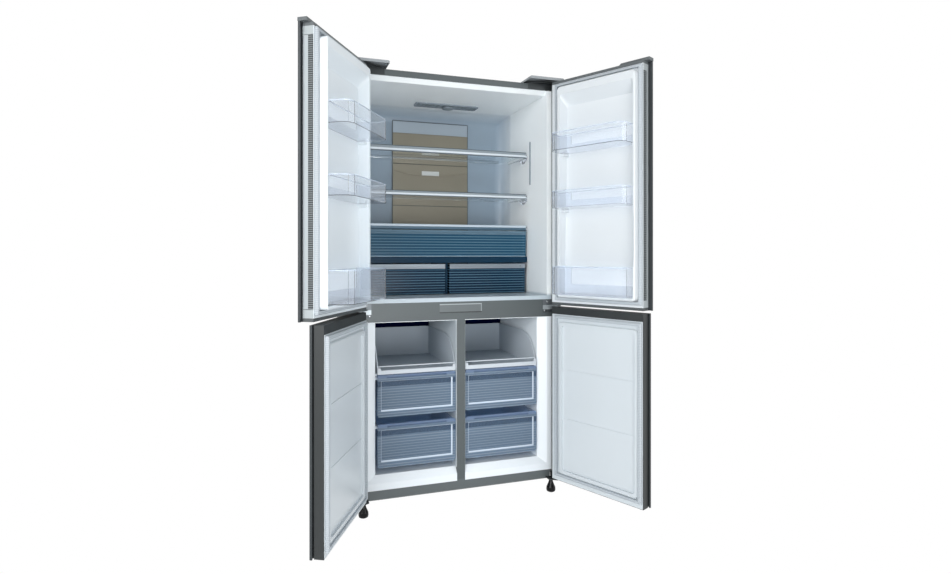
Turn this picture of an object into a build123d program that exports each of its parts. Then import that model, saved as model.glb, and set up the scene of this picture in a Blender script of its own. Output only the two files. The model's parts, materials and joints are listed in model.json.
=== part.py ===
from build123d import *
import os

os.makedirs("parts", exist_ok=True)

# Everything is in millimetres. X runs to the right, Y from the cabinet's front face to its back, Z up from the floor.
# Doors are drawn shut and then swung open about their hinge pins.

# cabinet
half_width = 454
cabinet_top = 1814
cabinet_back = 595
sheet = 1
flange_width = 26
side_bottom = 53
inner_half = 428

# fridge compartment
fridge_half = 405
fridge_floor = 873
fridge_ceiling = 1772
fridge_mouth_top = 1788
fridge_back = 490
fridge_corner = 60
liner_wall = 2
shelf_front = 200
panel_depth = 5.4

# freezer compartment
freezer_half = 365
freezer_mouth_half = 404
freezer_floor = 151
freezer_mouth_bottom = 123
freezer_ceiling = 777
freezer_back = 525
freezer_step_back = 385
freezer_step_top = 362
rail_half = 18
evaporator_front = 450

# beam and plinth
beam_bottom = 779
beam_top = 856
plinth_top = 94
plinth_half = 420

# machine room
bay_front = 440
bay_top = 300
bay_half = 440
pan_sheet = 2

# hinge pins
axis_x = 438.1
axis_y = -39.5
pin_radius = 4
pin_play = 0.05

# doors: u runs from the hinge axis to the free edge, v outwards from the inner face
inner_face_y = -16.5
hinge_edge_u = -14.4
tip_u = 436.1
skin = 1.2
edge_skin = 4.5
front_v = 48
panel_v = 38
upper_edge_u = 418.5
lower_edge_u = 428.8
upper_z = (835, 1815)
lower_z = (68, 826)
upper_liner_z = (847, 1803)
lower_liner_z = (70, 795)
rim_height = 42
rim_u = (40, 404)
pocket_u = (55, 396)
pocket_z = (885, 1741)
pocket_draft = (14, 46)
bin_front_v = -122
bin_wall = 2.5
bin_levels = ((890, 1005), (1249, 1320), (1488, 1563))
gasket_depth = 15.5

# how far each door stands open in degrees
open_upper_left = 122.5
open_lower_left = 117.0
open_upper_right = 116.8
open_lower_right = 114.4

# flip bar between the upper doors
bar_axis_u = 412
bar_axis_v = 7.2
bar_half = 6.7
bar_reach = 30
bar_z = (876.5, 1773.5)

# rear rollers
roller_x = 400
roller_y = 540
roller_radius = 22
roller_width = 18
axle_radius = 4

# fans
evaporator_fan_at = (-190, 478, 716)
evaporator_fan_radius = 52
condenser_fan_at = (-82, 516, 140)
condenser_fan_radius = 60
shaft_radius = 3


def front_plane(y):
    return Plane(origin=(0, y, 0), x_dir=(1, 0, 0), z_dir=(0, -1, 0))


def side_plane(x):
    return Plane(origin=(x, 0, 0), x_dir=(0, 1, 0), z_dir=(1, 0, 0))


def rectangle(a0, a1, b0, b1, radius=0):
    wide = a1 - a0
    tall = b1 - b0
    face = RectangleRounded(wide, tall, radius) if radius else Rectangle(wide, tall)
    return Pos((a0 + a1) / 2, (b0 + b1) / 2) * face


def front_block(x0, x1, z0, z1, y0, y1, radius=0):
    return extrude(front_plane(y1) * rectangle(x0, x1, z0, z1, radius), y1 - y0, dir=(0, -1, 0))


def plan_block(x0, x1, y0, y1, z0, z1, radius=0):
    return extrude(Plane.XY.offset(z0) * rectangle(x0, x1, y0, y1, radius), z1 - z0)


def side_block(y0, y1, z0, z1, x0, x1, radius=0):
    return extrude(side_plane(x0) * rectangle(y0, y1, z0, z1, radius), x1 - x0)


def front_profile(points, y0, y1):
    return extrude(front_plane(y1) * Polygon(*points, align=None), y1 - y0, dir=(0, -1, 0))


def plan_profile(points, z0, z1):
    return extrude(Plane.XY.offset(z0) * Polygon(*points, align=None), z1 - z0, dir=(0, 0, 1))


def side_profile(points, x0, x1):
    return extrude(side_plane(x0) * Polygon(*points, align=None), x1 - x0, dir=(1, 0, 0))


def upright(radius, x, y, z0, z1):
    return Pos(x, y, (z0 + z1) / 2) * Cylinder(radius, z1 - z0)


def along_x(radius, y, z, x0, x1):
    return Pos((x0 + x1) / 2, y, z) * Rot(0, 90, 0) * Cylinder(radius, x1 - x0)


def along_y(radius, x, z, y0, y1):
    return Pos(x, (y0 + y1) / 2, z) * Rot(90, 0, 0) * Cylinder(radius, y1 - y0)


def both_sides(shape):
    return [shape, mirror(shape, about=Plane.YZ)]


# cabinet

def cabinet_shell():
    outer = front_block(-half_width, half_width, side_bottom, cabinet_top, 0, cabinet_back - 1)
    outer = fillet(outer.edges().filter_by(Axis.Y).group_by(Axis.Z)[-1], 5)
    half = half_width - sheet
    room = front_block(-half, half, side_bottom - 1, cabinet_top - sheet, sheet, cabinet_back)
    mouth = front_block(-inner_half, inner_half, plinth_top, cabinet_top - flange_width, -1, sheet + 1)
    below = front_block(-half, half, side_bottom - 1, plinth_top, -1, sheet + 1)
    shell = outer - room - mouth - below
    for x, z in mid_screw_places():
        if abs(x) > inner_half:
            shell -= along_y(2.2, x, z, -1, 3)
    return shell


def back_panel():
    half = half_width - sheet - 0.2
    sheet_part = front_block(-half, half, bay_top + 2, cabinet_top - sheet - 0.2, 593, 594)
    for level in (560, 1120, 1560):
        sheet_part += front_block(-330, 330, level, level + 40, 594, 597, 18)
        sheet_part -= front_block(-320, 320, level + 5, level + 35, 592, 595.5)
    return sheet_part


def base_pan():
    low = side_bottom + 1
    points = [
        (42, plinth_top - 2), (bay_front, plinth_top - 2), (bay_front, low), (592, low),
        (592, low + pan_sheet), (bay_front + pan_sheet, low + pan_sheet),
        (bay_front + pan_sheet, plinth_top), (42, plinth_top),
    ]
    pan = side_profile(points, -452, 452)
    gap = roller_width / 2 + 0.5
    for side in (-1, 1):
        middle = side * roller_x
        for inner in (middle - gap - 3, middle + gap):
            cheek = side_profile(
                [
                    (roller_y - 24, low), (roller_y + 24, low), (roller_y + 10, 15),
                    (roller_y - 10, 15),
                ],
                inner, inner + 3,
            )
            pan += cheek
        pan += along_x(axle_radius, roller_y, roller_radius, middle - gap - 5, middle + gap + 5)
    return pan


def fridge_cavity(grow):
    half = fridge_half + grow
    box = front_block(
        -half, half, fridge_floor - grow, fridge_ceiling + grow, -1, fridge_back + grow
    )
    rear = box.faces().sort_by(Axis.Y)[-1].edges()
    rounded = rear.filter_by(Axis.Z) + rear.filter_by(Axis.X).group_by(Axis.Z)[-1]
    box = fillet(rounded, fridge_corner + grow)
    top = fridge_mouth_top
    lip = side_profile(
        [
            (-1, fridge_ceiling - 5), (60, fridge_ceiling - 5), (60, fridge_ceiling + grow),
            (26, fridge_ceiling + grow), (6, top + grow), (-1, top + grow),
        ],
        -half, half,
    )
    return box + lip


def freezer_cavity(grow):
    half = freezer_half + grow
    floor = freezer_floor - grow
    top = freezer_ceiling + grow
    upper = front_block(-half, half, freezer_step_top - grow, top, 19, freezer_back + grow)
    lower = front_block(-half, half, floor, freezer_step_top, 19, freezer_step_back + grow)
    wide = freezer_mouth_half + grow
    low = freezer_mouth_bottom - grow
    mouth = loft(
        [
            front_plane(0) * rectangle(-wide, wide, low, top),
            front_plane(20) * rectangle(-half, half, floor, top),
        ]
    )
    return upper + lower + mouth + front_block(-wide, wide, low, top, -1, 0)


def bay_room():
    return front_block(-bay_half, bay_half, side_bottom, bay_top, bay_front - 2, 596)


def beam_room():
    return front_block(-inner_half, inner_half, beam_bottom, beam_top, -1, 22)


def cabinet_foam():
    half = half_width - sheet
    body = front_block(-half, half, plinth_top, cabinet_top - sheet, 2, 593)
    body -= fridge_cavity(liner_wall)
    body -= freezer_cavity(liner_wall)
    body -= bay_room()
    body -= beam_room()
    body -= front_block(-rail_half, rail_half, plinth_top - 1, beam_bottom, 1, 22)
    for x, z in mid_screw_places():
        if abs(x) > inner_half:
            body -= front_block(x - 4, x + 4, z - 4, z + 4, 1, 10)
    return body


def fridge_liner():
    flange = front_block(-inner_half, inner_half, beam_top, fridge_mouth_top, 0, 2)
    liner = fridge_cavity(liner_wall) + flange
    liner &= front_block(-inner_half, inner_half, beam_top, fridge_mouth_top + 2, 0, 600)
    liner -= front_block(-inner_half, inner_half, fridge_mouth_top, fridge_mouth_top + 3, -1, 1.1)
    liner -= fridge_cavity(0)
    for level in (1521, 1323, 1174, 1026):
        for ledge in both_sides(side_block(215, 420, level, level + 10, 396, 405.5)):
            liner += ledge
    return liner


def freezer_liner():
    flange = front_block(-inner_half, inner_half, plinth_top, beam_bottom, 0, 2)
    liner = freezer_cavity(liner_wall) + flange
    liner &= front_block(-inner_half, inner_half, plinth_top, beam_bottom, 0, 600)
    liner -= freezer_cavity(0)
    liner -= front_block(-rail_half, rail_half, plinth_top - 1, beam_bottom + 1, -1, 22.2)
    for level, depth in ((553, 430), (538, 430), (335.7, 372)):
        for ledge in both_sides(side_block(34, depth, level, level + 10, 355, 365.5)):
            liner += ledge
    return liner


def freezer_partition():
    points = [
        (22.5, freezer_floor + 0.2), (freezer_step_back - 0.2, freezer_floor + 0.2),
        (freezer_step_back - 0.2, freezer_step_top), (evaporator_front - 0.2, freezer_step_top),
        (evaporator_front - 0.2, freezer_ceiling - 0.2), (22.5, freezer_ceiling - 0.2),
    ]
    wall = side_profile(points, -19, 19)
    wall += side_block(4, 23, freezer_floor + 0.2, freezer_ceiling - 0.2, 18.1, 20)
    wall += side_block(4, 23, freezer_floor + 0.2, freezer_ceiling - 0.2, -20, -18.1)
    for level, depth in ((553, 430), (538, 430), (335.7, 372)):
        for ledge in both_sides(side_block(34, depth, level, level + 10, 18, 28)):
            wall += ledge
    return wall


def divider_rail():
    rail = front_block(-rail_half, rail_half, plinth_top, beam_bottom, 0, 22)
    return rail - front_block(-rail_half + 1.5, rail_half - 1.5, plinth_top - 1, beam_bottom + 1, 1.5, 23)


def middle_beam():
    beam = front_block(-inner_half, inner_half, beam_bottom, beam_top, 0, 22)
    beam -= front_block(-inner_half - 1, inner_half + 1, beam_bottom + 1.5, beam_top - 1.5, 1.5, 23)
    beam -= front_block(-95, 95, 808, 847, -1, 3)
    for x, z in mid_screw_places():
        beam -= along_y(2.2, x, z, -1, 3)
    return beam


def beam_cover_plate():
    return front_block(-94.8, 94.8, 808.2, 846.8, 0.8, 1.7, 2) + front_block(-100, 100, 803, 852, 1.6, 3)


def plinth():
    points = [
        (0, plinth_top), (0, side_bottom + 6), (6, side_bottom), (40, side_bottom),
        (40, side_bottom + 1.5), (6.6, side_bottom + 1.5), (1.5, side_bottom + 6.6),
        (1.5, plinth_top - 1.5), (40, plinth_top - 1.5), (40, plinth_top),
    ]
    return side_profile(points, -plinth_half, plinth_half)


# hinges and feet

def mid_screw_places():
    places = [(392, 806), (432, 806), (405, 847)]
    return places + [(-x, z) for x, z in places]


def top_bracket(x0, x1):
    plate = plan_block(x0, x1, 8, 50, 1816.5, 1819.5)
    arm = plan_profile(
        [
            (-axis_x - 13, axis_y - 6), (-axis_x + 13, axis_y - 12), (x1, 8), (x1, 20),
            (x0, 20), (x0, 8),
        ],
        1816.5, 1819.5,
    )
    pad = plan_block(x0, x1, 10, 48, cabinet_top, 1816.5)
    skirt = front_block(x0, x1, 1790, 1819.5, -0.6, 0) + plan_block(x0, x1, -0.6, 9, 1816.5, 1819.5)
    return plate + arm + pad + skirt + upright(pin_radius, -axis_x, axis_y, 1803, 1819.5)


def middle_bracket():
    plate = front_block(-452, -385, 798, 855, -3, 0, 4)
    tongue = plan_profile(
        [(-452, -1), (-452, -44), (-444, -51), (-431, -51), (-424, -44), (-398, -1)], 828.5, 832.5
    )
    bracket = plate + tongue + upright(pin_radius, -axis_x, axis_y, 816, 845)
    for x, z in mid_screw_places():
        if x < 0:
            bracket -= along_y(2.2, x, z, -4, 1)
    return bracket


def bottom_bracket():
    plate = front_block(-452.8, -421, 56, 88, -3, 0)
    shelf = plan_profile(
        [(-452, 0), (-452, -44), (-444, -51), (-431, -51), (-398, -32), (-398, 0)], 60, 64
    )
    boss = upright(9, -418, -13, 52, 60)
    stud_hole = upright(5.3, -418, -13, 50, 66)
    return plate + shelf + boss - stud_hole + upright(pin_radius, -axis_x, axis_y, 60, 80)


def hinge_brackets():
    left_top = top_bracket(-448, -330)
    right_top = mirror(top_bracket(-448, -312), about=Plane.YZ)
    return [left_top, right_top] + both_sides(middle_bracket()) + both_sides(bottom_bracket())


def hinge_cover(x0, x1):
    low = 1821
    top = 1832.5
    points = [(x0, low), (x1, low), (x1, top - 3), (x1 - 5, top), (x0 + 2, top), (x0, top - 2)]
    cover = front_profile(points, -56, 58)
    hollow = [
        (x0 + 2, low - 1), (x1 - 2, low - 1), (x1 - 2, top - 4), (x1 - 6, top - 2), (x0 + 2, top - 2),
    ]
    cover -= front_profile(hollow, -54, 56)
    foot = plan_block(x0 + 4, x1 - 6, 52, 58, cabinet_top, low)
    return cover + foot


def top_hinge_covers():
    return [hinge_cover(-450, -320), mirror(hinge_cover(-460, -298), about=Plane.YZ)]


def hinge_screws():
    screws = []
    for x, z in mid_screw_places():
        head = along_y(4, x, z, -5, -3)
        screws.append(head + along_y(2, x, z, -3, 8))
    return screws


def levelling_feet():
    profile = Polygon(
        (0, 0), (13, 0), (19, 4), (20.5, 11), (19.5, 21), (12, 38), (8, 51), (5, 51), (5, 65), (0, 65),
        align=None,
    )
    foot = Pos(-418, -13, 0) * revolve(Plane.XZ * profile, Axis.Z)
    return both_sides(foot)


# fridge fittings

def duct_panel():
    panel = front_block(-197, 197, 905, 1722, 481, 488.9, 3)
    panel -= front_block(-194, 194, 1663, 1719, 480, 484, 3)
    panel -= front_block(-190, 190, 1657, 1660, 480, 484)
    for level in (1298, 1506):
        panel -= front_block(-190, 190, level, level + 4, 480, 484)
    smile = [(-190, 1474), (-120, 1458), (-50, 1450), (50, 1450), (120, 1458), (190, 1474)]
    rim = [(x, z - 3.5) for x, z in reversed(smile)]
    return panel - front_profile(smile + rim, 480, 484)


def interior_lamps():
    ceiling = fridge_ceiling
    vent = plan_block(-120, 190, 295, 365, ceiling - 6, ceiling, 12)
    for step in range(6):
        left = -108 + 18 * step
        right = 88 + 16 * step
        vent -= plan_block(left, left + 10, 305, 355, ceiling - 7, ceiling - 3)
        vent -= plan_block(right, right + 10, 305, 355, ceiling - 7, ceiling - 3)
    vent += upright(16, 40, 330, ceiling - 9, ceiling - 6)
    strips = both_sides(side_block(167, 177, 1387, 1592, 402, 405, 4))
    return [vent] + strips


def shelf_plate(level):
    points = [
        (-402, 206), (402, 206), (402, 424), (366, 472), (-366, 472), (-402, 424),
    ]
    return plan_profile(points, level, level + 4)


def shelf_glasses():
    return [shelf_plate(1531), shelf_plate(1333), shelf_plate(1184)]


def trim_strip(z0, z1, glass):
    points = [
        (shelf_front, z0 + 3), (shelf_front + 3, z0), (shelf_front + 9, z0), (shelf_front + 9, glass - 0.1),
        (shelf_front + 5.8, glass - 0.1), (shelf_front + 5.8, glass + 4.1), (shelf_front + 9, glass + 4.1),
        (shelf_front + 9, z1), (shelf_front + 2, z1), (shelf_front, z1 - 3),
    ]
    return side_profile(points, -396, 396)


def rear_trim(glass):
    points = [(468, glass + 4.1), (476, glass + 4.1), (476, glass + 15), (473, glass + 17), (468, glass + 15)]
    return side_profile(points, -362, 362)


def shelf_trims():
    return [
        rear_trim(1531), rear_trim(1333),
        trim_strip(1518, 1545, 1531),
        trim_strip(1322, 1345, 1333),
        trim_strip(1170, 1194, 1184),
    ]


def shelf_support(level):
    arm = side_profile(
        [
            (202, level - 4), (212, level - 20), (240, level - 34), (262, level - 34),
            (280, level - 14), (424, level - 11), (424, level - 10.2), (206, level - 10.2),
        ],
        396.2, 404.8,
    )
    boss = along_x(9, 246, level - 26, 389, 397)
    return arm + boss


def shelf_supports():
    parts = []
    for level in (1531, 1333):
        parts += both_sides(shelf_support(level))
    return parts


def crisper_deck():
    plate = plan_profile(
        [(-402, 203), (402, 203), (402, 424), (368, 468), (-368, 468), (-402, 424)], 1036.5, 1041
    )
    apron = front_block(-402, 402, 1018, 1045, 203, 206)
    leg = front_block(-5, 5, fridge_floor, 1036.5, 212, 460)
    return plate + apron + leg


def ribbed_front(x0, x1, z0, z1, y, count, margin):
    face = front_block(x0, x1, z0, z1, y, y + 4, 6)
    pitch = (z1 - z0 - 2 * margin) / (count - 1)
    for step in range(count):
        level = z0 + margin + step * pitch
        face += front_block(x0 + 12, x1 - 12, level - 1.5, level + 1.5, y - 1.6, y + 0.5)
    return face


def drawer_tub(x0, x1, z0, z1, y1, wall):
    # open at the front, where the front panel closes it
    outer = plan_block(x0, x1, y1 - 260, y1, z0, z1, 5)
    outer -= plan_block(x0 + wall, x1 - wall, y1 - 261, y1 - wall, z0 + wall, z1 + 1)
    return outer - plan_block(x0 - 1, x1 + 1, y1 - 261, shelf_front + panel_depth, z0 - 1, z1 + 1)


def wide_drawer():
    tub = drawer_tub(-391, 391, 1050, 1160, 425, 3)
    front = ribbed_front(-395, 395, 1046.5, 1167, shelf_front + 1, 8, 16)
    front += side_profile(
        [(197, 1160), (197, 1167), (203, 1167), (203, 1158), (200, 1156)], -395, 395
    )
    return [tub, front]


def crisper(side):
    x0 = 10 if side > 0 else -390
    x1 = x0 + 380
    tub = drawer_tub(x0 + 3, x1 - 3, 882, 1004, 425, 3)
    front = ribbed_front(x0, x1, 877, 988, shelf_front + 1, 8, 14)
    front += front_block(x0 + 3, x1 - 3, 980, 1004, shelf_front + 1, shelf_front + 5)
    front += side_profile(
        [
            (196, 989), (196, 1012), (198, 1014), (206, 1014), (206, 1010), (199.5, 1010),
            (199.5, 991), (205, 988), (205, 984), (201, 984),
        ],
        x0, x1,
    )
    return [tub, front]


# freezer fittings

def freezer_tray(side):
    x0 = 22 if side > 0 else -357
    x1 = x0 + 335
    low = 563.5
    outline = [
        (8, low), (438, low), (438, 703), (152, 703), (118, 697), (88, 684), (62, 664), (40, 636),
        (22, 600), (18, 591), (11, 591), (8, 588),
    ]
    body = side_profile(outline, x0, x1)
    room = side_profile(
        [(20, low + 3), (435, low + 3), (435, 710), (60, 710), (22, 620), (20, 592)], x0 + 3, x1 - 3
    )
    body -= room
    flare = [(x0 + 3, 20), (x1 - 3, 20), (x1 - 14, 8 - 1), (x0 + 14, 8 - 1)]
    return body - plan_profile(flare, 580, 720)


def freezer_drawer(side, z0, z1, depth, flange):
    x0 = 22 if side > 0 else -357
    x1 = x0 + 335
    left = x0 + 7
    right = x1 - 4
    if side < 0:
        left = x0 + 4
        right = x1 - 7
    front = front_block(x0, x1, z0, z1, 8, 20, 10)
    front -= front_block(x0 + 16, x1 - 16, z0 + 26, z1 - 26, 6, 13, 8)
    for step in range(6):
        level = z0 + 34 + step * 11
        front += front_block(x0 + 18, x1 - 18, level, level + 4, 11, 13.5)
    front -= side_profile([(7, z1 - 14), (14, z1 - 10), (14, z1 - 4), (7, z1 - 7)], x0 + 40, x1 - 40)
    tub = front_block(left, right, z0 + 5, flange + 4, 18, depth, 10)
    tub += front_block(left, right, flange - 20, flange + 4, 18, depth)
    tub -= plan_block(left + 2.5, right - 2.5, 20, depth - 2.5, z0 + 8, flange + 5, 8)
    wing = plan_block(x0, x1 + 5, 40, depth - 8, flange, flange + 4)
    if side < 0:
        wing = plan_block(x0 - 5, x1, 40, depth - 8, flange, flange + 4)
    wing -= plan_block(left + 2, right - 2, 30, depth, flange - 1, flange + 5)
    return front + tub + wing


def evaporator_cover():
    points = [
        (-364.8, freezer_step_top + 0.2), (364.8, freezer_step_top + 0.2),
        (364.8, freezer_ceiling - 0.2), (-364.8, freezer_ceiling - 0.2),
    ]
    cover = front_profile(points, evaporator_front, evaporator_front + 3)
    for side in (-1, 1):
        for step in range(5):
            level = 712 + step * 12
            middle = side * 190
            cover -= front_block(middle - 140, middle + 140, level, level + 6, 440, 460)
    x, y, z = evaporator_fan_at
    motor = along_y(20, x, z, evaporator_front + 2.5, evaporator_front + 12)
    return cover + motor + along_y(shaft_radius, x, z, evaporator_front + 11, y + 14)


def axial_fan(radius, hub_radius, depth, blades):
    fan = Cylinder(hub_radius, depth) - Cylinder(shaft_radius + pin_play, depth + 2)
    half = depth * 0.8
    camber = depth * 0.12
    section = Polygon(
        (-half, 0), (-half / 3, camber), (half / 3, camber), (half, 0), (half, 1.6),
        (half / 3, camber + 1.6), (-half / 3, camber + 1.6), (-half, 1.6), align=None,
    )
    root = Plane(origin=(hub_radius - 2, 0, 0), x_dir=(0, 1, 0), z_dir=(1, 0, 0))
    blade = extrude(root * Rot(0, 0, 35) * section, radius - hub_radius + 2)
    for number in range(blades):
        fan += Rot(0, 0, number * 360 / blades) * blade
    return fan


def evaporator_fan():
    return Pos(*evaporator_fan_at) * Rot(90, 0, 0) * axial_fan(evaporator_fan_radius, 17, 18, 5)


def evaporator():
    x0, x1 = -300, 300
    y0, y1 = 462, 514
    z0, z1 = 400, 640
    block = front_block(x0, x1, z0, z1, y0, y1)
    for step in range(19):
        left = x0 + 10 + step * 31
        block -= front_block(left, left + 22, z0 + 6, z1 + 1, y0 - 1, y0 + 16)
    for row in range(3):
        level = z0 + 40 + row * 80
        block += return_bend(x1 - 1, level, 1)
    for row in range(2):
        level = z0 + 80 + row * 80
        block += return_bend(x0 + 1, level, -1)
    return block


def return_bend(x, level, side):
    outer = front_block(x - 18, x + 18, level - 24, level + 24, 484, 492, 17)
    outer -= front_block(x - 10, x + 10, level - 16, level + 16, 483, 493, 9)
    keep = front_block(x, x + side * 20, level - 25, level + 25, 480, 496)
    if side < 0:
        keep = front_block(x - 20, x, level - 25, level + 25, 480, 496)
    return outer & keep


# machine room

def compressor():
    profile = Polygon((0, 62), (64, 62), (70, 74), (70, 182), (50, 205), (0, 205), align=None)
    can = Pos(160, 514, 0) * revolve(Plane.XZ * profile, Axis.Z)
    foot = plan_block(78, 242, 462, 566, 58, 63)
    for x in (88, 232):
        for y in (472, 556):
            foot += plan_block(x - 7, x + 7, y - 7, y + 7, side_bottom + 3, 59)
    pipe = upright(4, 84, 514, 146, 236) + along_x(4, 514, 150, 80, 100)
    return can + foot + pipe


def condenser():
    block = front_block(-330, -130, 66, 216, 470, 562)
    for step in range(9):
        left = -322 + step * 21
        block -= front_block(left, left + 15, 72, 217, 469, 486)
    base = plan_block(-332, -60, 466, 566, side_bottom + 3, 66)
    x, y, z = condenser_fan_at
    hoop = side_block(450, 582, 65, 212, x - 22, x - 18)
    hoop -= along_x(condenser_fan_radius + 4, y, z, x - 30, x + 10)
    spoke = side_block(450, 582, z - 4, z + 4, x - 22, x - 18)
    motor = along_x(18, y, z, x - 40, x - 14)
    return block + base + hoop + spoke + motor + along_x(shaft_radius, y, z, x - 15, x + 14)


def condenser_fan():
    return Pos(*condenser_fan_at) * Rot(0, 90, 0) * axial_fan(condenser_fan_radius, 20, 20, 5)


def drip_tray():
    outer = plan_block(70, 290, 462, 572, 240, 272, 12)
    inner = plan_block(73, 287, 465, 569, 243, 273, 9)
    legs = plan_block(300, 306, 500, 530, side_bottom + 3, 250) + plan_block(285, 306, 500, 530, 244, 250)
    return outer - inner + legs


def control_box():
    box = front_block(-420, -350, 120, 280, 500, 560, 4)
    lid = front_block(-424, -346, 116, 284, 560, 564, 4)
    lug = plan_block(-440, -420, 510, 550, 180, 186)
    return box + lid + lug


def bay_cover():
    panel = front_block(-452, 452, side_bottom + 2, bay_top + 1, 593, 594.5)
    for column in range(3):
        for row in range(6):
            left = -310 + column * 220
            level = 96 + row * 28
            panel -= front_block(left, left + 140, level, level + 9, 592, 596)
    gland = along_y(12, -400, 90, 588, 604) - along_y(5, -400, 90, 580, 610)
    return panel - along_y(9, -400, 90, 592, 596) + gland


def rear_roller(side):
    wheel = Cylinder(roller_radius, roller_width) - Cylinder(axle_radius + pin_play, roller_width + 2)
    return Pos(side * roller_x, roller_y, roller_radius) * Rot(0, 90, 0) * wheel


# doors, drawn shut on the left with the hinge axis at the origin of u

def door_x(u):
    return u - axis_x


def door_y(v):
    return inner_face_y - v


def door_block(u0, u1, z0, z1, v0, v1, radius=0):
    return front_block(door_x(u0), door_x(u1), z0, z1, door_y(v1), door_y(v0), radius)


def door_plan(points, z0, z1):
    return plan_profile([(door_x(u), door_y(v)) for u, v in points], z0, z1)


def upper_frame(with_bar):
    z0, z1 = upper_z
    body = door_block(hinge_edge_u, upper_edge_u, z0, z1, 0, panel_v)
    body += door_block(hinge_edge_u + edge_skin, 419, z0, z1, panel_v - 1, front_v - skin)
    cap = front_profile(
        [(door_x(300), z1), (door_x(436), z1), (door_x(436), z1 + 12), (door_x(314), z1 + 12)],
        door_y(front_v), door_y(14),
    )
    body += cap
    if with_bar:
        body -= door_block(401.5, 420, bar_z[0] - 1.5, bar_z[1] + 1.5, -1, panel_v)
        for z in (bar_z[0] - 10, bar_z[1] - 2):
            body -= upright(pin_radius - 1 + pin_play, door_x(bar_axis_u), door_y(bar_axis_v), z, z + 12)
    for z in (z0 - 1, z1 - 14):
        body -= upright(pin_radius + pin_play, -axis_x, axis_y, z, z + 15)
    return body


def lower_frame():
    z0, z1 = lower_z
    body = door_block(hinge_edge_u, lower_edge_u, z0, z1, 0, 34)
    body += door_block(hinge_edge_u, 421, z0, z1, 34, panel_v)
    body += door_block(hinge_edge_u + edge_skin, 421, z0, z1, panel_v - 1, front_v - skin)
    for z in (z0 - 1, z1 - 12):
        body -= upright(pin_radius + pin_play, -axis_x, axis_y, z, z + 15)
    return body


def front_panel(z0, z1, slot_u):
    points = [
        (hinge_edge_u, panel_v), (hinge_edge_u, front_v - 4), (hinge_edge_u + 1.2, front_v - 1.2),
        (hinge_edge_u + 4, front_v), (tip_u - 4, front_v), (tip_u - 1.2, front_v - 1.2),
        (tip_u, front_v - 4), (tip_u, panel_v), (tip_u - 5, panel_v), (tip_u - 5, panel_v + 5),
        (slot_u, panel_v + 5), (slot_u, panel_v),
    ]
    panel = door_plan(points, z0, z1)
    room = door_block(hinge_edge_u + edge_skin, slot_u - 2, z0 - 1, z1 + 1, panel_v - 1, front_v - skin)
    return panel - room


def pocket_cut():
    left, right = pocket_u
    low, high = pocket_z
    in_u, in_z = pocket_draft
    mouth = [(left, low), (right, low), (right, high), (left, high)]
    floor = [(left, low), (right, low), (right, high - in_z), (left + in_u, high - in_z)]
    sections = []
    for corners, v in ((floor, -1.5), (mouth, -rim_height)):
        outline = Polygon(*[(door_x(u), z) for u, z in corners], align=None)
        tips = outline.vertices().group_by(Axis.Y)[-1]
        sections.append(front_plane(door_y(v)) * fillet(tips, 14))
    cut = loft(sections)
    cut += door_block(left, right, low, high, -rim_height - 1, -rim_height)
    wider = [(right - 1, 1009), (right + 4, 1037), (right + 4, 1206), (right - 1, 1240)]
    return cut + front_profile([(door_x(u), z) for u, z in wider], door_y(-1.5), door_y(-rim_height - 1))


def upper_door_liner():
    z0, z1 = upper_liner_z
    liner = door_block(hinge_edge_u + 4, upper_edge_u, z0, z1, -1.5, 0)
    rim = door_block(rim_u[0], rim_u[1], 873, 1775, -rim_height, -1.5, 16)
    lean = rim.faces().sort_by(Axis.Y)[-1].edges()
    rim = chamfer(lean, 4) - pocket_cut()
    left, right = pocket_u
    for level, top in bin_levels:
        rim += door_block(left - 1, left + pocket_draft[0] + 7, level - 12, level - 1, -34, -1.5)
        rim += door_block(right - 7, right + 1, level - 12, level - 1, -34, -1.5)
    return liner + rim


def lower_door_liner():
    z0, z1 = lower_liner_z
    liner = door_block(hinge_edge_u + 4, lower_edge_u - 2, z0, z1, -1.5, 0)
    border = door_block(30, 409, 104, 764, -11, -1.5, 18)
    border = chamfer(border.faces().sort_by(Axis.Y)[-1].edges(), 4)
    border -= door_block(46, 397, 122, 748, -20, -1.5, 12)
    for level in (342, 554):
        rib = door_block(45.5, 397.5, level - 4, level + 4, -4, -1.5)
        border += rib
    return liner + border


def gasket(u0, u1, z0, z1):
    width = 12
    base = door_block(u0 + 3, u1 - 3, z0 + 3, z1 - 3, -6, -1.5)
    base -= door_block(u0 + width - 3, u1 - width + 3, z0 + width - 3, z1 - width + 3, -7, 0)
    bulb = door_block(u0, u1, z0, z1, -gasket_depth, -6)
    bulb = chamfer(bulb.faces().sort_by(Axis.Y)[-1].edges(), 3)
    bulb -= door_block(u0 + width, u1 - width, z0 + width, z1 - width, -gasket_depth - 1, 0)
    return base + bulb


def upper_gasket():
    return gasket(10, 417.5, 857.5, 1799)


def lower_gasket():
    return gasket(10, 426, 91.5, 791)


def centre_seal():
    return door_block(upper_edge_u, upper_edge_u + 3, 876, 1774, 2, 18)


def door_bin(z0, z1):
    left, right = pocket_u[0] + 0.3, pocket_u[1] - 0.3
    deep_left = left + pocket_draft[0]
    front = bin_front_v
    outer = door_plan(
        [
            (deep_left, -2), (right, -2), (right, front + 34), (right - 8, front + 12),
            (right - 30, front), (left + 30, front), (left + 8, front + 12), (left, front + 34),
            (left, -rim_height),
        ],
        z0, z1,
    )
    w = bin_wall
    inner = door_plan(
        [
            (deep_left + w, -2 - w), (right - w, -2 - w), (right - w, front + 35),
            (right - 10, front + 14.4), (right - 31, front + w), (left + 31, front + w),
            (left + 10, front + 14.4), (left + w, front + 35), (left + w, -rim_height),
        ],
        z0 + w, z1 + 1,
    )
    low_back = door_block(deep_left + 20, right - 20, z0 + 40, z1 + 1, -6, 0)
    return outer - inner - low_back


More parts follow.
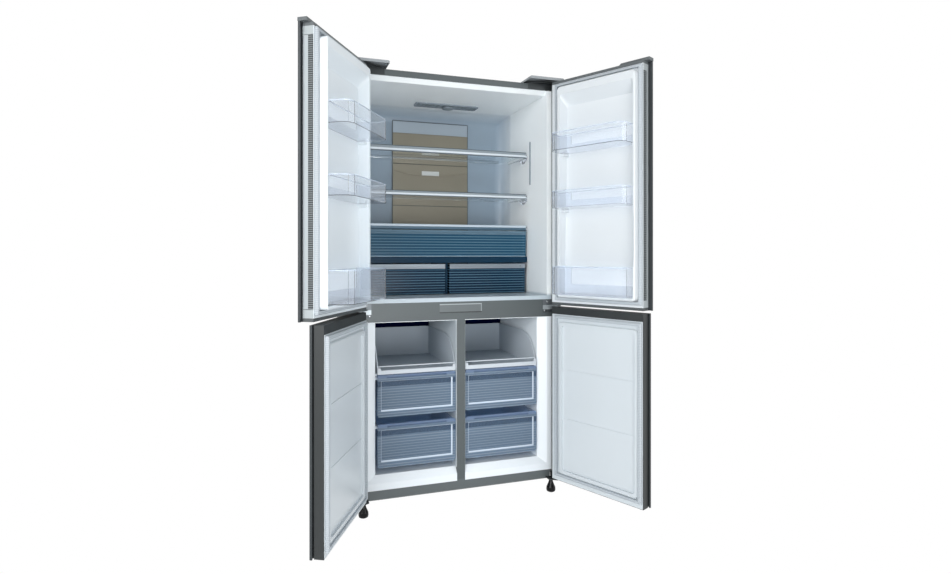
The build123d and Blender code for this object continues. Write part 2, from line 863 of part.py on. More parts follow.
def door_bins():
    return [door_bin(z0, z1) for z0, z1 in bin_levels]


def flip_bar():
    z0, z1 = bar_z
    u0, u1 = bar_axis_u - bar_half, bar_axis_u + bar_half
    bar = door_block(u0, u1, z0, z1, bar_axis_v, bar_axis_v + bar_reach)
    bar += upright(bar_half, door_x(bar_axis_u), door_y(bar_axis_v), z0, z1)
    pin = pin_radius - 1
    bar += upright(pin, door_x(bar_axis_u), door_y(bar_axis_v), z0 - 8, z1 + 8)
    return bar


def swing(shape, side, angle):
    if side > 0:
        shape = mirror(shape, about=Plane.YZ)
    pin = Pos(side * axis_x, axis_y, 0)
    return pin * Rot(0, 0, side * angle) * Pos(-side * axis_x, -axis_y, 0) * shape


def write(name, shapes):
    shapes = shapes if isinstance(shapes, list) else [shapes]
    solids = []
    for shape in shapes:
        solids += shape.solids()
    node = solids[0] if len(solids) == 1 else Compound(children=solids)
    export_step(node, f"parts/{name}.step")


def write_door(prefix, side, angle, pieces):
    for name, shapes in pieces.items():
        shapes = shapes if isinstance(shapes, list) else [shapes]
        write(f"{prefix}_{name}", [swing(shape, side, angle) for shape in shapes])


def write_cabinet():
    write("cabinet_shell", cabinet_shell())
    write("back_panel", back_panel())
    write("base_pan", base_pan())
    write("cabinet_foam", cabinet_foam())
    write("fridge_liner", fridge_liner())
    write("freezer_liner", freezer_liner())
    write("freezer_partition", freezer_partition())
    write("divider_rail", divider_rail())
    write("middle_beam", middle_beam())
    write("beam_cover_plate", beam_cover_plate())
    write("plinth", plinth())
    write("hinge_brackets", hinge_brackets())
    write("top_hinge_covers", top_hinge_covers())
    write("hinge_screws", hinge_screws())
    write("levelling_feet", levelling_feet())


def write_fittings():
    write("duct_panel", duct_panel())
    write("interior_lamps", interior_lamps())
    write("shelf_glasses", shelf_glasses())
    write("shelf_trims", shelf_trims())
    write("shelf_supports", shelf_supports())
    write("crisper_deck", crisper_deck())
    write("wide_drawer", wide_drawer())
    write("crisper_left", crisper(-1))
    write("crisper_right", crisper(1))
    for side, word in ((-1, "left"), (1, "right")):
        write(f"freezer_tray_{word}", freezer_tray(side))
        write(f"upper_freezer_drawer_{word}", freezer_drawer(side, 388, 560.5, 430, 548.3))
        write(f"lower_freezer_drawer_{word}", freezer_drawer(side, 181, 359, 372, 346))
    write("evaporator_cover", evaporator_cover())
    write("evaporator_fan", evaporator_fan())
    write("evaporator", evaporator())


def write_machine_room():
    write("compressor", compressor())
    write("condenser", condenser())
    write("condenser_fan", condenser_fan())
    write("drip_tray", drip_tray())
    write("control_box", control_box())
    write("bay_cover", bay_cover())
    write("rear_roller_left", rear_roller(-1))
    write("rear_roller_right", rear_roller(1))


def write_doors():
    z0, z1 = upper_z
    write_door("upper_left_door", -1, open_upper_left, {
        "frame": upper_frame(True),
        "front_panel": front_panel(z0, z1, 421),
        "liner": upper_door_liner(),
        "gasket": upper_gasket(),
        "bins": door_bins(),
    })
    write("flip_bar", swing(flip_bar(), -1, open_upper_left))
    write_door("upper_right_door", 1, open_upper_right, {
        "frame": upper_frame(False),
        "front_panel": front_panel(z0, z1, 421),
        "liner": upper_door_liner(),
        "gasket": [upper_gasket(), centre_seal()],
        "bins": door_bins(),
    })
    z0, z1 = lower_z
    for prefix, side, angle in (
        ("lower_left_door", -1, open_lower_left),
        ("lower_right_door", 1, open_lower_right),
    ):
        write_door(prefix, side, angle, {
            "frame": lower_frame(),
            "front_panel": front_panel(z0, z1, 424),
            "liner": lower_door_liner(),
            "gasket": lower_gasket(),
        })


write_cabinet()
write_fittings()
write_machine_room()
write_doors()
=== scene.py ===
import json
import math

import bmesh
import bpy
from mathutils import Matrix, Vector


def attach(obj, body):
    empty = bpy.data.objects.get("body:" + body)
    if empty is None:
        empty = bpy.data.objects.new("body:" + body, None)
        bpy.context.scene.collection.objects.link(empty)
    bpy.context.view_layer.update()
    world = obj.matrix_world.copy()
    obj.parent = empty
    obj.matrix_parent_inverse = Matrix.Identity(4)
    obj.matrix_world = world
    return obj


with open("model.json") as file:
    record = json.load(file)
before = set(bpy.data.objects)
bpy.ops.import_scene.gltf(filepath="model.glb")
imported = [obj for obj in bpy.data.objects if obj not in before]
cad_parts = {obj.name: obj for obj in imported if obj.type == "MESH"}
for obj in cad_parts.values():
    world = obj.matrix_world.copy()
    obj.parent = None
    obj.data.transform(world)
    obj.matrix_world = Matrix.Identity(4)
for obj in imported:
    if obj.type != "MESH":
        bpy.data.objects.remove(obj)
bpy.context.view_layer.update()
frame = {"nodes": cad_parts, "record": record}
cadNodes = frame["nodes"]
slotOf = {part["node"]: part["material_slot"] for part in frame["record"]["subparts"]}
print("stage: frame loaded,", len(cadNodes), "nodes")

# camera, light and floor

view = {
    "place": (-0.7888, -2.3489, 1.0552),
    "turn": (math.radians(90), 0, math.radians(-18.05)),
    "lens": 22.01,
    "shiftX": 0.0206,
    "shiftY": -0.0340,
    "clipStart": 0.05,
}

light = {
    "ambient": 0.32,
    "softBoxes": {
        "leftSoftBox": {"place": (-3.1, -3.3, 2.0), "aim": (0.35, 0.1, 1.1), "size": 2.0, "power": 110},
        "rightSoftBox": {"place": (2.9, -3.2, 2.3), "aim": (-0.4, -0.1, 1.0), "size": 2.0, "power": 38},
        "lowSoftBox": {"place": (-0.3, -3.0, 0.35), "aim": (0.1, 0.3, 1.7), "size": 1.6, "power": 50},
    },
    "floorSize": 40,
    "floorShade": 0.9,
    "floorRoughness": 0.9,
    "floorGlow": 1.0,
    "firstBounce": 0.5,
}


def addCamera():
    bpy.context.scene.view_settings.view_transform = "Standard"
    bpy.ops.object.camera_add(location=view["place"], rotation=view["turn"])
    camera = bpy.context.object
    camera.name = "photoCamera"
    camera.data.lens = view["lens"]
    camera.data.shift_x = view["shiftX"]
    camera.data.shift_y = view["shiftY"]
    camera.data.clip_start = view["clipStart"]
    bpy.context.scene.camera = camera


def addSoftBoxes():
    for name, box in light["softBoxes"].items():
        bpy.ops.object.light_add(type="AREA", location=box["place"])
        lamp = bpy.context.object
        lamp.name = name
        lamp.data.size = box["size"]
        lamp.data.energy = box["power"]
        toward = Vector(box["aim"]) - Vector(box["place"])
        lamp.rotation_euler = toward.to_track_quat("-Z", "Y").to_euler()


def mathNode(nodes, links, operation, first, second):
    node = nodes.new("ShaderNodeMath")
    node.operation = operation
    for socket, value in zip(node.inputs, (first, second)):
        if isinstance(value, (int, float)):
            socket.default_value = value
        else:
            links.new(value, socket)
    return node.outputs[0]


def sightFactor(nodes, links):
    # 1 for what the camera sees, also by a reflection or through clear plastic, and
    # 0 for what lights the object, also through clear plastic after a first bounce
    path = nodes.new("ShaderNodeLightPath")
    seen = mathNode(nodes, links, "MAXIMUM", path.outputs["Is Camera Ray"], path.outputs["Is Glossy Ray"])
    seen = mathNode(nodes, links, "MAXIMUM", seen, path.outputs["Is Transmission Ray"])
    direct = mathNode(nodes, links, "LESS_THAN", path.outputs["Diffuse Depth"], light["firstBounce"])
    return mathNode(nodes, links, "MULTIPLY", seen, direct)


def addWorld():
    world = bpy.data.worlds.new("paleStudio")
    world.use_nodes = True
    bpy.context.scene.world = world
    nodes = world.node_tree.nodes
    links = world.node_tree.links
    backdrop = nodes["Background"]
    backdrop.inputs["Color"].default_value = (1, 1, 1, 1)
    strength = nodes.new("ShaderNodeMix")
    strength.inputs["A"].default_value = light["ambient"]
    strength.inputs["B"].default_value = 1.0
    links.new(sightFactor(nodes, links), strength.inputs["Factor"])
    links.new(strength.outputs["Result"], backdrop.inputs["Strength"])


def addFloor():
    bpy.ops.mesh.primitive_plane_add(size=light["floorSize"], location=(0, 0, 0))
    floor = bpy.context.object
    floor.name = "studioFloor"
    material = bpy.data.materials.new("paleFloor")
    material.use_nodes = True
    nodes = material.node_tree.nodes
    links = material.node_tree.links
    shader = nodes["Principled BSDF"]
    shader.inputs["Base Color"].default_value = (light["floorShade"],) * 3 + (1,)
    shader.inputs["Roughness"].default_value = light["floorRoughness"]
    glow = nodes.new("ShaderNodeEmission")
    glow.inputs["Color"].default_value = (1, 1, 1, 1)
    blend = nodes.new("ShaderNodeMixShader")
    share = mathNode(nodes, links, "MULTIPLY", sightFactor(nodes, links), light["floorGlow"])
    links.new(share, blend.inputs["Fac"])
    links.new(shader.outputs[0], blend.inputs[1])
    links.new(glow.outputs[0], blend.inputs[2])
    links.new(blend.outputs[0], nodes["Material Output"].inputs["Surface"])
    floor.data.materials.append(material)


addCamera()
addSoftBoxes()
addWorld()
addFloor()
print("stage: camera, light and floor")

# finishes: colours are 0 to 255 as seen, sizes of patterns in metres
# zones repaint a band between two places on one axis, ribs repaint thin lines at a steady pitch,
# and blends fade to another colour between two places on one axis; several of them are painted shade
# and painted highlights, said at each finish

finishes = {
    "paintedGrey": {
        "kind": "solid", "colour": (80, 87, 89), "roughness": 0.42, "metallic": 0.2,
        "patch": 3, "spread": 0.05, "grain": 900, "height": 0.12, "wear": 0.06,
        "zones": [{"axis": "Z", "from": 0.0, "to": 0.1, "colour": (90, 97, 99)}],
    },
    "zincSteel": {
        "kind": "solid", "colour": (176, 179, 182), "roughness": 0.36, "metallic": 0.85,
        "patch": 9, "spread": 0.10, "grain": 500, "height": 0.1, "wear": 0.1,
    },
    "doorSteel": {
        "kind": "brushed", "colour": (60, 65, 68), "roughness": 0.38, "metallic": 0.35,
        "patch": 5, "spread": 0.05, "grain": 700, "height": 0.1, "wear": 0.05,
    },
    "upperDoorEdge": {
        "kind": "solid", "colour": (170, 178, 181), "roughness": 0.45, "metallic": 0.0,
        "patch": 4, "spread": 0.03, "grain": 1200, "height": 0.1, "wear": 0.05,
        "zones": [
            {"axis": "Z", "from": 1.803, "to": 1.9, "colour": (92, 98, 101)},
            # a darker band along the bottom of the upper door frames: painted shade
            {"axis": "Z", "from": 0.8, "to": 0.847, "colour": (78, 83, 85)},
        ],
    },
    "lowerDoorEdge": {
        "kind": "solid", "colour": (46, 50, 51), "roughness": 0.45, "metallic": 0.1,
        "patch": 4, "spread": 0.04, "grain": 1200, "height": 0.1, "wear": 0.05,
    },
    "whiteLiner": {
        "kind": "solid", "colour": (229, 237, 242), "roughness": 0.32, "metallic": 0.0,
        "patch": 2, "spread": 0.02, "grain": 260, "height": 0.05, "wear": 0.03,
        # the lower door liners are painted darker than the upper ones: painted shade on the same white
        # plastic
        "zones": [{"axis": "Z", "from": 0.0, "to": 0.82, "colour": (208, 216, 221)}],
    },
    # the upper right door's liner: the same white plastic painted a little darker, painted shade where the
    # lamps light it more
    "shadedUpperRightLiner": {
        "kind": "solid", "colour": (218, 224, 228), "roughness": 0.32, "metallic": 0.0,
        "patch": 2, "spread": 0.02, "grain": 260, "height": 0.05, "wear": 0.03,
    },
    "fridgeLiner": {
        "kind": "solid", "colour": (247, 252, 255), "roughness": 0.34, "metallic": 0.0,
        "patch": 2, "spread": 0.02, "grain": 260, "height": 0.05, "wear": 0.03,
        "blends": [
            # the liner fades darker towards the back wall: painted shade
            {"axis": "Y", "start": 0.40, "end": 0.484, "colour": (146, 163, 178)},
            # and darker towards the floor and its front lip: painted shade
            {"axis": "Z", "start": 0.885, "end": 0.872, "colour": (182, 195, 203)},
        ],
    },
    "freezerLiner": {
        "kind": "solid", "colour": (234, 241, 246), "roughness": 0.36, "metallic": 0.0,
        "patch": 2, "spread": 0.02, "grain": 260, "height": 0.05, "wear": 0.03,
    },
    "trayPlastic": {
        "kind": "solid", "colour": (196, 204, 211), "roughness": 0.42, "metallic": 0.0,
        "patch": 3, "spread": 0.03, "grain": 700, "height": 0.08, "wear": 0.05,
        # the trays darken towards their back: painted shade
        "blends": [{"axis": "Y", "start": 0.06, "end": 0.42, "colour": (154, 166, 177)}],
    },
    "insulatingFoam": {
        "kind": "solid", "colour": (222, 205, 150), "roughness": 0.95, "metallic": 0.0,
        "patch": 12, "spread": 0.12, "grain": 180, "height": 0.6, "wear": 0.2,
    },
    "gasketRubber": {
        "kind": "solid", "colour": (184, 192, 198), "roughness": 0.62, "metallic": 0.0,
        "patch": 6, "spread": 0.03, "grain": 800, "height": 0.15, "wear": 0.04,
        "ribs": {"axis": "Z", "first": 0.0, "pitch": 0.006, "thick": 0.0018, "colour": (164, 173, 181)},
    },
    "darkSteel": {
        "kind": "solid", "colour": (62, 66, 68), "roughness": 0.4, "metallic": 0.6,
        "patch": 14, "spread": 0.1, "grain": 900, "height": 0.15, "wear": 0.12,
        "zones": [
            {"axis": "Z", "from": 0.79, "to": 0.811, "colour": (74, 79, 82)},
            {"axis": "Z", "from": 0.811, "to": 0.83, "colour": (160, 168, 172)},
            {"axis": "Z", "from": 0.83, "to": 0.86, "colour": (104, 110, 114)},
        ],
    },
    "screwSteel": {
        "kind": "solid", "colour": (186, 190, 194), "roughness": 0.28, "metallic": 0.9,
        "patch": 20, "spread": 0.06, "grain": 900, "height": 0.1, "wear": 0.1,
    },
    "coverPlastic": {
        "kind": "solid", "colour": (146, 152, 156), "roughness": 0.5, "metallic": 0.0,
        "patch": 6, "spread": 0.04, "grain": 1400, "height": 0.2, "wear": 0.05,
    },
    "lampPlastic": {
        "kind": "solid", "colour": (136, 147, 156), "roughness": 0.4, "metallic": 0.0,
        "patch": 6, "spread": 0.03, "grain": 900, "height": 0.1, "wear": 0.05,
    },
    "blackPlastic": {
        "kind": "solid", "colour": (18, 19, 21), "roughness": 0.3, "metallic": 0.0,
        "patch": 10, "spread": 0.15, "grain": 1200, "height": 0.15, "wear": 0.1,
    },
    "footPlastic": {
        "kind": "solid", "colour": (7, 8, 10), "roughness": 0.22, "metallic": 0.0, "shine": 0.2,
        "patch": 10, "spread": 0.15, "grain": 900, "height": 0.05, "wear": 0.05,
    },
    "barPlastic": {
        "kind": "solid", "colour": (174, 182, 186), "roughness": 0.45, "metallic": 0.0,
        "patch": 6, "spread": 0.03, "grain": 1200, "height": 0.1, "wear": 0.05,
    },
    "sealRubber": {
        "kind": "solid", "colour": (46, 51, 53), "roughness": 0.6, "metallic": 0.0,
        "patch": 10, "spread": 0.1, "grain": 900, "height": 0.15, "wear": 0.1,
        # lighter lines on the seal's ribs: painted highlights
        "ribs": {"axis": "Z", "first": 0.8788, "pitch": 0.007, "thick": 0.0032, "colour": (112, 119, 122)},
    },
    "coverPlate": {
        "kind": "solid", "colour": (96, 103, 105), "roughness": 0.36, "metallic": 0.2,
        "patch": 3, "spread": 0.04, "grain": 900, "height": 0.1, "wear": 0.05,
        "zones": [
            {"axis": "X", "from": 0.0905, "to": 0.1, "colour": (136, 144, 147)},
            {"axis": "Z", "from": 0.8425, "to": 0.85, "colour": (152, 160, 163)},
            {"axis": "Z", "from": 0.80, "to": 0.8125, "colour": (52, 56, 58)},
        ],
    },
    "bronzePanel": {
        "kind": "brushed", "colour": (138, 133, 118), "roughness": 0.38, "metallic": 0.25,
        "patch": 3, "spread": 0.06, "grain": 600, "height": 0.06, "wear": 0.05,
        "zones": [
            {"axis": "Z", "from": 1.6605, "to": 1.7185, "colour": (164, 177, 188)},
            # a dark line along the top edge and along both sides of the duct panel: painted shadow gaps
            {"axis": "Z", "from": 1.7185, "to": 1.73, "colour": (88, 98, 106)},
            {"axis": "X", "from": 0.1945, "to": 0.2, "colour": (78, 84, 86)},
            {"axis": "X", "from": -0.2, "to": -0.1945, "colour": (78, 84, 86)},
            # thin dark lines just under the two shelves: painted shadows
            {"axis": "Z", "from": 1.506, "to": 1.51, "colour": (84, 86, 80)},
            {"axis": "Z", "from": 1.298, "to": 1.302, "colour": (92, 94, 88)},
        ],
    },
    "silverTrim": {
        "kind": "brushed", "colour": (112, 122, 130), "roughness": 0.42, "metallic": 0.1,
        "patch": 3, "spread": 0.04, "grain": 500, "height": 0.05, "wear": 0.05,
        "zones": [
            {"axis": "Z", "from": 1.5225, "to": 1.531, "colour": (212, 221, 228)},
            {"axis": "Z", "from": 1.531, "to": 1.542, "colour": (134, 145, 152)},
            {"axis": "Z", "from": 1.542, "to": 1.56, "colour": (62, 72, 80)},
            {"axis": "Z", "from": 1.3255, "to": 1.3335, "colour": (212, 221, 228)},
            {"axis": "Z", "from": 1.3335, "to": 1.342, "colour": (134, 145, 152)},
            {"axis": "Z", "from": 1.342, "to": 1.36, "colour": (66, 76, 84)},
            {"axis": "Z", "from": 1.165, "to": 1.184, "colour": (66, 92, 110)},
            {"axis": "Z", "from": 1.184, "to": 1.2, "colour": (186, 200, 211)},
        ],
    },
    "gripSilver": {
        "kind": "brushed", "colour": (124, 133, 141), "roughness": 0.38, "metallic": 0.4,
        "patch": 3, "spread": 0.05, "grain": 500, "height": 0.05, "wear": 0.05,
    },
    "greyPlastic": {
        "kind": "solid", "colour": (148, 151, 156), "roughness": 0.5, "metallic": 0.0,
        "patch": 5, "spread": 0.05, "grain": 900, "height": 0.2, "wear": 0.06,
    },
    # navy plastic of the evaporator cover and the air outlets, made dark enough to stand for the shade over
    # the freezer trays: partly painted shade
    "navyPlasticAndShade": {
        "kind": "solid", "colour": (1, 6, 38), "roughness": 0.8, "metallic": 0.0, "shine": 0.0,
        "patch": 5, "spread": 0.08, "grain": 900, "height": 0.15, "wear": 0.06,
    },
    "coilAluminium": {
        "kind": "solid", "colour": (192, 195, 198), "roughness": 0.34, "metallic": 0.9,
        "patch": 20, "spread": 0.08, "grain": 700, "height": 0.15, "wear": 0.1,
    },
    "blackSteel": {
        "kind": "solid", "colour": (26, 26, 27), "roughness": 0.42, "metallic": 0.3,
        "patch": 10, "spread": 0.2, "grain": 700, "height": 0.2, "wear": 0.15,
    },
    "plateLight": {
        "kind": "solid", "colour": (206, 210, 208), "roughness": 0.4, "metallic": 0.1,
        "patch": 8, "spread": 0.03, "grain": 900, "height": 0.08, "wear": 0.05,
    },
    "shelfGlass": {
        "kind": "clear", "colour": (242, 248, 251), "clarity": 1.0, "roughness": 0.0, "ior": 1.4,
    },
    "binPlastic": {
        "kind": "clear", "colour": (240, 242, 245), "clarity": 0.95, "roughness": 0.03, "ior": 1.3,
        "shine": 0.3,
    },
    # the bin rims: real rims, whiter and less clear than the bins to stand for their bright edges, partly
    # painted highlight
    "rimPlasticAndHighlight": {
        "kind": "clear", "colour": (224, 233, 243), "clarity": 0.6, "roughness": 0.1, "ior": 1.4,
    },
    "drawerPlastic": {
        "kind": "clear", "colour": (142, 163, 183), "clarity": 0.6, "roughness": 0.1, "ior": 1.3,
        # the lighter lines sit on the moulded ribs: painted highlights
        "ribs": {"axis": "Z", "first": 0.215, "pitch": 0.011, "thick": 0.003, "colour": (182, 198, 212)},
        "zones": [
            # the top of each front's recess is darker: painted shade
            {"axis": "Z", "from": 0.512, "to": 0.536, "colour": (98, 121, 146)},
            {"axis": "Z", "from": 0.311, "to": 0.335, "colour": (98, 121, 146)},
            {"axis": "Z", "from": 0.548, "to": 0.562, "colour": (150, 172, 202)},
            {"axis": "Z", "from": 0.346, "to": 0.36, "colour": (150, 172, 202)},
            {"axis": "Y", "from": 0.024, "to": 0.5, "colour": (208, 219, 232)},
        ],
    },
    # pale plastic of the frames in the freezer drawers' fronts: painted highlights of the refraction lines
    "highlightFramePlastic": {
        "kind": "clear", "colour": (226, 236, 246), "clarity": 0.4, "roughness": 0.25, "ior": 1.4,
    },
    "wideDrawerPlastic": {
        "kind": "clear", "colour": (38, 80, 106), "clarity": 0.2, "roughness": 0.2, "ior": 1.3, "shine": 0.25,
        "zones": [
            {"axis": "Z", "from": 1.149, "to": 1.17, "colour": (104, 132, 150)},
            {"axis": "Z", "from": 1.04, "to": 1.0495, "colour": (150, 172, 188)},
        ],
        # the lighter lines sit on the moulded ribs: painted highlights
        "ribs": {
            "axis": "Z", "first": 1.0625, "pitch": 0.01264, "thick": 0.0036, "colour": (98, 138, 160),
        },
    },
    "crisperPlastic": {
        "kind": "clear", "colour": (16, 46, 68), "clarity": 0.2, "roughness": 0.2, "ior": 1.3, "shine": 0.25,
        # the lighter lines sit on the moulded ribs: painted highlights
        "ribs": {
            "axis": "Z", "first": 0.891, "pitch": 0.01186, "thick": 0.0034, "colour": (88, 126, 150),
        },
    },
    "deckPlastic": {
        "kind": "clear", "colour": (20, 52, 74), "clarity": 0.1, "roughness": 0.25, "ior": 1.3, "shine": 0.2,
    },
}

finishOfSlot = {
    "painted_grey": "paintedGrey", "zinc_steel": "zincSteel", "door_steel": "doorSteel",
    "door_edge": "lowerDoorEdge", "white_liner": "whiteLiner", "foam": "insulatingFoam",
    "gasket_white": "gasketRubber", "dark_steel": "darkSteel", "light_grey_plastic": "coverPlastic",
    "black_plastic": "blackPlastic", "bronze_panel": "bronzePanel", "shelf_glass": "shelfGlass",
    "silver_trim": "silverTrim", "clear_plastic": "binPlastic", "blue_clear_plastic": "drawerPlastic",
    "teal_clear_plastic": "wideDrawerPlastic", "grey_plastic": "greyPlastic",
    "coil_aluminium": "coilAluminium", "black_steel": "blackSteel",
}

finishOfNode = {
    "upper_left_door_frame": "upperDoorEdge", "upper_right_door_frame": "upperDoorEdge",
    "freezer_tray_left": "trayPlastic", "freezer_tray_right": "trayPlastic",
    "interior_lamps": "lampPlastic", "flip_bar": "barPlastic", "evaporator_cover": "navyPlasticAndShade",
    "fridge_liner": "fridgeLiner", "freezer_liner": "freezerLiner",
    "crisper_left": "crisperPlastic", "crisper_right": "crisperPlastic", "crisper_deck": "deckPlastic",
    "hinge_screws": "screwSteel", "beam_cover_plate": "coverPlate", "levelling_feet": "footPlastic",
    "upper_right_door_liner": "shadedUpperRightLiner",
}


pattern = {
    "patchDetail": 3, "grainDetail": 2, "brushStretch": 0.02, "noiseLow": 0.3, "noiseHigh": 0.7,
    "bumpDistance": 0.0004, "usualShine": 0.5,
}


def linear(level):
    part = level / 255
    return part / 12.92 if part <= 0.04045 else ((part + 0.055) / 1.055) ** 2.4


def paint(colour, factor=1.0):
    return tuple(min(1.0, linear(level) * factor) for level in colour) + (1.0,)


def startMaterial(name):
    material = bpy.data.materials.new(name)
    material.use_nodes = True
    nodes = material.node_tree.nodes
    return material, nodes, material.node_tree.links, nodes["Principled BSDF"]


def noise(nodes, links, place, scale, detail):
    texture = nodes.new("ShaderNodeTexNoise")
    texture.inputs["Scale"].default_value = scale
    texture.inputs["Detail"].default_value = detail
    links.new(place, texture.inputs["Vector"])
    return texture.outputs["Fac"]


def mixColours(nodes, links, factor, first, second):
    mix = nodes.new("ShaderNodeMix")
    mix.data_type = "RGBA"
    for socket, value in ((mix.inputs["A"], first), (mix.inputs["B"], second)):
        if isinstance(value, tuple):
            socket.default_value = value
        else:
            links.new(value, socket)
    links.new(factor, mix.inputs["Factor"])
    return mix.outputs["Result"]


def rangeOf(nodes, links, factor, low, high):
    rescale = nodes.new("ShaderNodeMapRange")
    rescale.inputs["From Min"].default_value = pattern["noiseLow"]
    rescale.inputs["From Max"].default_value = pattern["noiseHigh"]
    rescale.inputs["To Min"].default_value = low
    rescale.inputs["To Max"].default_value = high
    links.new(factor, rescale.inputs["Value"])
    return rescale.outputs["Result"]


def paintBands(nodes, links, place, look, colour):
    split = nodes.new("ShaderNodeSeparateXYZ")
    links.new(place, split.inputs[0])
    if "ribs" in look:
        ribs = look["ribs"]
        shifted = mathNode(nodes, links, "SUBTRACT", split.outputs[ribs["axis"]], ribs["first"])
        away = mathNode(nodes, links, "PINGPONG", shifted, ribs["pitch"] / 2)
        onRib = mathNode(nodes, links, "LESS_THAN", away, ribs["thick"] / 2)
        colour = mixColours(nodes, links, onRib, colour, paint(ribs["colour"]))
    for zone in look.get("zones", []):
        along = split.outputs[zone["axis"]]
        above = mathNode(nodes, links, "GREATER_THAN", along, zone["from"])
        below = mathNode(nodes, links, "LESS_THAN", along, zone["to"])
        inside = mathNode(nodes, links, "MULTIPLY", above, below)
        colour = mixColours(nodes, links, inside, colour, paint(zone["colour"]))
    for blend in look.get("blends", []):
        share = nodes.new("ShaderNodeMapRange")
        share.inputs["From Min"].default_value = blend["start"]
        share.inputs["From Max"].default_value = blend["end"]
        links.new(split.outputs[blend["axis"]], share.inputs["Value"])
        colour = mixColours(nodes, links, share.outputs["Result"], colour, paint(blend["colour"]))
    return colour


def solidFinish(name, look):
    material, nodes, links, shader = startMaterial(name)
    place = nodes.new("ShaderNodeTexCoord").outputs["Object"]
    grainPlace = place
    if look["kind"] == "brushed":
        mapping = nodes.new("ShaderNodeMapping")
        mapping.inputs["Scale"].default_value = (1.0, 1.0, pattern["brushStretch"])
        links.new(place, mapping.inputs["Vector"])
        grainPlace = mapping.outputs["Vector"]
    patches = noise(nodes, links, place, look["patch"], pattern["patchDetail"])
    grain = noise(nodes, links, grainPlace, look["grain"], pattern["grainDetail"])
    darker = paint(look["colour"], 1 - look["spread"])
    lighter = paint(look["colour"], 1 + look["spread"])
    colour = mixColours(nodes, links, patches, darker, lighter)
    colour = paintBands(nodes, links, place, look, colour)
    links.new(colour, shader.inputs["Base Color"])
    rough = rangeOf(nodes, links, patches, look["roughness"] - look["wear"], look["roughness"] + look["wear"])
    links.new(rough, shader.inputs["Roughness"])
    shader.inputs["Metallic"].default_value = look["metallic"]
    shader.inputs["Specular IOR Level"].default_value = look.get("shine", pattern["usualShine"])
    bump = nodes.new("ShaderNodeBump")
    bump.inputs["Strength"].default_value = look["height"]
    bump.inputs["Distance"].default_value = pattern["bumpDistance"]
    links.new(grain, bump.inputs["Height"])
    links.new(bump.outputs["Normal"], shader.inputs["Normal"])
    return material


def clearFinish(name, look):
    material, nodes, links, shader = startMaterial(name)
    tint = paint(look["colour"])
    shader.inputs["Base Color"].default_value = tint
    if "ribs" in look or "zones" in look:
        place = nodes.new("ShaderNodeTexCoord").outputs["Object"]
        links.new(paintBands(nodes, links, place, look, tint), shader.inputs["Base Color"])
    shader.inputs["Transmission Weight"].default_value = look["clarity"]
    shader.inputs["Roughness"].default_value = look["roughness"]
    shader.inputs["IOR"].default_value = look["ior"]
    shader.inputs["Specular IOR Level"].default_value = look.get("shine", pattern["usualShine"])
    through = nodes.new("ShaderNodeBsdfTransparent")
    through.inputs["Color"].default_value = tint
    path = nodes.new("ShaderNodeLightPath")
    blend = nodes.new("ShaderNodeMixShader")
    links.new(path.outputs["Is Shadow Ray"], blend.inputs["Fac"])
    links.new(shader.outputs[0], blend.inputs[1])
    links.new(through.outputs[0], blend.inputs[2])
    links.new(blend.outputs[0], nodes["Material Output"].inputs["Surface"])
    return material


def makeFinish(name, look):
    if look["kind"] == "clear":
        return clearFinish(name, look)
    return solidFinish(name, look)


materials = {name: makeFinish(name, look) for name, look in finishes.items()}


def dressNode(name):
    node = cadNodes[name]
    finish = materials[finishOfNode.get(name, finishOfSlot[slotOf[name]])]
    if not node.material_slots:
        node.data.materials.append(finish)
    for socket in node.material_slots:
        socket.material = finish


for nodeName in cadNodes:
    dressNode(nodeName)
print("stage: finishes on the solids")

# helpers for the pieces made here, with sizes in millimetres as in the solids

doors = {
    "upper_left_door": {"side": -1, "open": 122.5},
    "upper_right_door": {"side": 1, "open": 116.8},
}
hinge = {"x": 438.1, "y": -39.5, "innerFace": -16.5}
smoothAngle = math.radians(35)
weldDistance = 0.000001
# how much of a normal has to lie along an axis to face it, and how near two places
# have to be to count as one, in metres
facing = 0.9
samePlace = 0.001


def deselectAll():
    bpy.ops.object.select_all(action="DESELECT")


def pickOnly(piece):
    deselectAll()
    piece.select_set(True)
    bpy.context.view_layer.objects.active = piece


def addBlock(name, low, high):
    deselectAll()
    middle = [(a + b) / 2000 for a, b in zip(low, high)]
    size = [(b - a) / 1000 for a, b in zip(low, high)]
    bpy.ops.mesh.primitive_cube_add(size=1, location=middle, scale=size)
    block = bpy.context.object
    block.name = name
    bpy.ops.object.transform_apply(location=True, rotation=True, scale=True)
    return block


def addDisc(name, radius, low, high, sides):
    # a short round bar between two points that differ on one axis
    deselectAll()
    start, end = Vector(low) / 1000, Vector(high) / 1000
    turn = (end - start).to_track_quat("Z", "Y").to_euler()
    bpy.ops.mesh.primitive_cylinder_add(
        vertices=sides, radius=radius / 1000, depth=(end - start).length,
        location=(start + end) / 2, rotation=turn,
    )
    disc = bpy.context.object
    disc.name = name
    bpy.ops.object.transform_apply(location=True, rotation=True, scale=True)
    return disc


def useModifier(piece, kind, **values):
    pickOnly(piece)
    modifier = piece.modifiers.new(kind.lower(), kind)
    for key, value in values.items():
        setattr(modifier, key, value)
    bpy.ops.object.modifier_apply(modifier=modifier.name)


def roundEdges(piece, width, segments=2):
    useModifier(piece, "BEVEL", width=width / 1000, segments=segments, limit_method="ANGLE")


def repeatUp(piece, count, pitch):
    useModifier(
        piece, "ARRAY", count=count, use_relative_offset=False, use_constant_offset=True,
        constant_offset_displace=(0, 0, pitch / 1000),
    )


